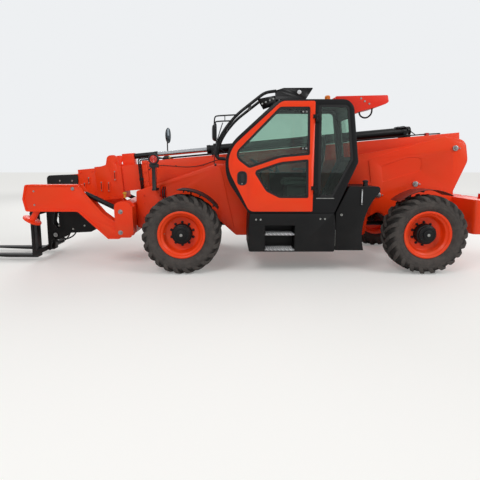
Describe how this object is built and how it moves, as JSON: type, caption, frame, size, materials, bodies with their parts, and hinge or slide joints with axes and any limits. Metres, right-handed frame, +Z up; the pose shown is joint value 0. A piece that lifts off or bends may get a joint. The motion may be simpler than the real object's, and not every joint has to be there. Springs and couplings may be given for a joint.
{
  "type": "telehandler",
  "caption": "Orange telescopic handler with a four-section boom, side cab, fork carriage, front stabilisers and all-wheel steering.",
  "frame": {"origin": "on the ground, at the middle of the overall length and width", "axes": "+Z up, +X towards the rear of the machine, -Y towards the cab side (the left of a driver who faces forwards)"},
  "size_m": [8.53, 2.4, 2.6736],
  "materials": {
    "orange_paint": "gloss enamel, lightly dusty",
    "rim_paint": "gloss enamel",
    "black_paint": "satin black enamel",
    "fork_steel": "worn black",
    "engine_iron": "rough cast",
    "chrome_rod": "polished",
    "tinted_glass": "green tint",
    "seat_vinyl": "grained vinyl",
    "cab_plastic": "moulded",
    "step_aluminium": "punched tread",
    "roof_plastic": "moulded cover",
    "amber_lens": "ribbed lens",
    "red_lens": "ribbed lens",
    "lamp_plastic": "moulded",
    "tyre_rubber": "dusty rubber"
  },
  "bodies": {
    "chassis": {"chassis_side_left": "orange_paint", "chassis_side_right": "orange_paint", "chassis_cross": "orange_paint", "counterweight": "orange_paint", "tow_hitch": "black_paint", "front_axle": "black_paint", "rear_axle": "black_paint", "cab_frame": "black_paint", "cab_glass": "tinted_glass", "cab_base": "black_paint", "cab_steps": "step_aluminium", "hydraulic_tank": "black_paint", "roof_unit": "roof_plastic", "beacon": "amber_lens", "cab_guard": "black_paint", "seat_cushion": "seat_vinyl", "seat_back": "seat_vinyl", "cab_controls": "cab_plastic", "engine_tray": "black_paint", "engine_block": "engine_iron", "drive_line": "black_paint", "front_lamps": "lamp_plastic", "tail_lamps": "red_lens", "mirrors": "black_paint"},
    "boom": {"boom_outer": "orange_paint", "extension_barrel": "black_paint"},
    "boom_two": {"boom_second": "orange_paint", "extension_rod": "chrome_rod"},
    "boom_three": {"boom_third": "orange_paint"},
    "boom_four": {"boom_tip": "orange_paint", "boom_head": "black_paint"},
    "fork_carriage": {"carriage": "black_paint", "forks": "fork_steel"},
    "lift_cylinder": {"lift_barrel": "black_paint"},
    "lift_slider": {"lift_rod": "chrome_rod"},
    "tilt_cylinder": {"tilt_barrel": "black_paint"},
    "tilt_slider": {"tilt_rod": "chrome_rod"},
    "door": {"cab_door": "orange_paint", "door_glass": "tinted_glass"},
    "hood": {"engine_hood": "orange_paint"},
    "stabiliser_left_arm": {"stabiliser_left": "orange_paint"},
    "stay_cylinder_left": {"stay_left_barrel": "black_paint"},
    "stay_slider_left": {"stay_left_rod": "chrome_rod"},
    "stabiliser_right_arm": {"stabiliser_right": "orange_paint"},
    "stay_cylinder_right": {"stay_right_barrel": "black_paint"},
    "stay_slider_right": {"stay_right_rod": "chrome_rod"},
    "steer_front_left": {"knuckle_front_left": "black_paint"},
    "wheel_front_left": {"tyre_front_left": "tyre_rubber", "rim_front_left": "rim_paint"},
    "steer_front_right": {"knuckle_front_right": "black_paint"},
    "wheel_front_right": {"tyre_front_right": "tyre_rubber", "rim_front_right": "rim_paint"},
    "steer_rear_left": {"knuckle_rear_left": "black_paint"},
    "wheel_rear_left": {"tyre_rear_left": "tyre_rubber", "rim_rear_left": "rim_paint"},
    "steer_rear_right": {"knuckle_rear_right": "black_paint"},
    "wheel_rear_right": {"tyre_rear_right": "tyre_rubber", "rim_rear_right": "rim_paint"}
  },
  "joints": [
    {"name": "boom_lift", "type": "hinge", "parent": "chassis", "child": "boom", "pos_m": [3.835, 0, 1.867], "axis": [0, 1, 0], "range_deg": [0, 72]},
    {"name": "boom_extend", "type": "slide", "parent": "boom", "child": "boom_two", "axis": [-0.9959, 0, -0.0905], "range_m": [0, 3.3]},
    {"name": "boom_extend_three", "type": "slide", "parent": "boom_two", "child": "boom_three", "axis": [-0.9959, 0, -0.0905], "range_m": [0, 3.3]},
    {"name": "boom_extend_four", "type": "slide", "parent": "boom_three", "child": "boom_four", "axis": [-0.9959, 0, -0.0905], "range_m": [0, 3.3]},
    {"name": "carriage_tilt", "type": "hinge", "parent": "boom_four", "child": "fork_carriage", "pos_m": [-2.815, 0, 0.4], "axis": [0, -1, 0], "range_deg": [-15, 80]},
    {"name": "lift_cylinder_swing", "type": "hinge", "parent": "chassis", "child": "lift_cylinder", "pos_m": [2.625, 0, 1.11], "axis": [0, 1, 0], "range_deg": [0, 80.3]},
    {"name": "lift_cylinder_stroke", "type": "slide", "parent": "lift_cylinder", "child": "lift_slider", "axis": [-0.998, 0, 0.0633], "range_m": [0, 1.632]},
    {"name": "tilt_cylinder_swing", "type": "hinge", "parent": "boom_four", "child": "tilt_cylinder", "pos_m": [-2.195, 0, 0.64], "axis": [0, -1, 0], "range_deg": [-5.75, 29.8]},
    {"name": "tilt_cylinder_stroke", "type": "slide", "parent": "tilt_cylinder", "child": "tilt_slider", "axis": [-0.954, 0, 0.2998], "range_m": [-0.081, 0.421]},
    {"name": "stabiliser_left", "type": "hinge", "parent": "chassis", "child": "stabiliser_left_arm", "pos_m": [-1.5, -0.7, 0.56], "axis": [0, -1, 0], "range_deg": [0, 30]},
    {"name": "stay_swing_left", "type": "hinge", "parent": "chassis", "child": "stay_cylinder_left", "pos_m": [-1.49, -0.7, 0.885], "axis": [0, -1, 0], "range_deg": [-0.2, 31.81]},
    {"name": "stay_stroke_left", "type": "slide", "parent": "stay_cylinder_left", "child": "stay_slider_left", "axis": [-0.8981, 0, 0.4398], "range_m": [-0.002, 0.168]},
    {"name": "stabiliser_right", "type": "hinge", "parent": "chassis", "child": "stabiliser_right_arm", "pos_m": [-1.5, 0.7, 0.56], "axis": [0, -1, 0], "range_deg": [0, 30]},
    {"name": "stay_swing_right", "type": "hinge", "parent": "chassis", "child": "stay_cylinder_right", "pos_m": [-1.49, 0.7, 0.885], "axis": [0, -1, 0], "range_deg": [-0.2, 31.81]},
    {"name": "stay_stroke_right", "type": "slide", "parent": "stay_cylinder_right", "child": "stay_slider_right", "axis": [-0.8981, 0, 0.4398], "range_m": [-0.002, 0.168]},
    {"name": "steer_front_left", "type": "hinge", "parent": "chassis", "child": "steer_front_left", "pos_m": [-0.515, -0.76, 0.5875], "axis": [0, 0, 1], "range_deg": [-35, 35]},
    {"name": "spin_front_left", "type": "hinge", "parent": "steer_front_left", "child": "wheel_front_left", "pos_m": [-0.515, -0.9975, 0.5875], "axis": [0, 1, 0], "continuous": true},
    {"name": "steer_front_right", "type": "hinge", "parent": "chassis", "child": "steer_front_right", "pos_m": [-0.515, 0.76, 0.5875], "axis": [0, 0, 1], "range_deg": [-35, 35]},
    {"name": "spin_front_right", "type": "hinge", "parent": "steer_front_right", "child": "wheel_front_right", "pos_m": [-0.515, 0.9975, 0.5875], "axis": [0, 1, 0], "continuous": true},
    {"name": "steer_rear_left", "type": "hinge", "parent": "chassis", "child": "steer_rear_left", "pos_m": [3.085, -0.76, 0.5875], "axis": [0, 0, 1], "range_deg": [-35, 35]},
    {"name": "spin_rear_left", "type": "hinge", "parent": "steer_rear_left", "child": "wheel_rear_left", "pos_m": [3.085, -0.9975, 0.5875], "axis": [0, 1, 0], "continuous": true},
    {"name": "steer_rear_right", "type": "hinge", "parent": "chassis", "child": "steer_rear_right", "pos_m": [3.085, 0.76, 0.5875], "axis": [0, 0, 1], "range_deg": [-35, 35]},
    {"name": "spin_rear_right", "type": "hinge", "parent": "steer_rear_right", "child": "wheel_rear_right", "pos_m": [3.085, 0.9975, 0.5875], "axis": [0, 1, 0], "continuous": true},
    {"name": "cab_door", "type": "hinge", "parent": "chassis", "child": "door", "pos_m": [1.41, -1.182, 1.7], "axis": [0, 0, 1], "range_deg": [0, 90]},
    {"name": "engine_hood", "type": "hinge", "parent": "chassis", "child": "hood", "pos_m": [1.295, 0.398, 1.516], "axis": [1, 0, 0], "range_deg": [0, 60]}
  ],
  "couplings": [
    {"joint": "boom_extend_three", "follows": "boom_extend", "ratio": 1},
    {"joint": "boom_extend_four", "follows": "boom_extend", "ratio": 1},
    {"joint": "lift_cylinder_swing", "follows": "boom_lift", "ratio": 1.1125},
    {"joint": "lift_cylinder_stroke", "follows": "boom_lift", "m_per_rad": 1.2972},
    {"joint": "tilt_cylinder_swing", "follows": "carriage_tilt", "ratio": 0.37},
    {"joint": "tilt_cylinder_stroke", "follows": "carriage_tilt", "m_per_rad": 0.3},
    {"joint": "stay_swing_left", "follows": "stabiliser_left", "ratio": 1.0535},
    {"joint": "stay_stroke_left", "follows": "stabiliser_left", "m_per_rad": 0.31793},
    {"joint": "stay_swing_right", "follows": "stabiliser_right", "ratio": 1.0535},
    {"joint": "stay_stroke_right", "follows": "stabiliser_right", "m_per_rad": 0.31793},
    {"joint": "steer_front_right", "follows": "steer_front_left", "ratio": 1},
    {"joint": "steer_rear_right", "follows": "steer_rear_left", "ratio": 1}
  ]
}
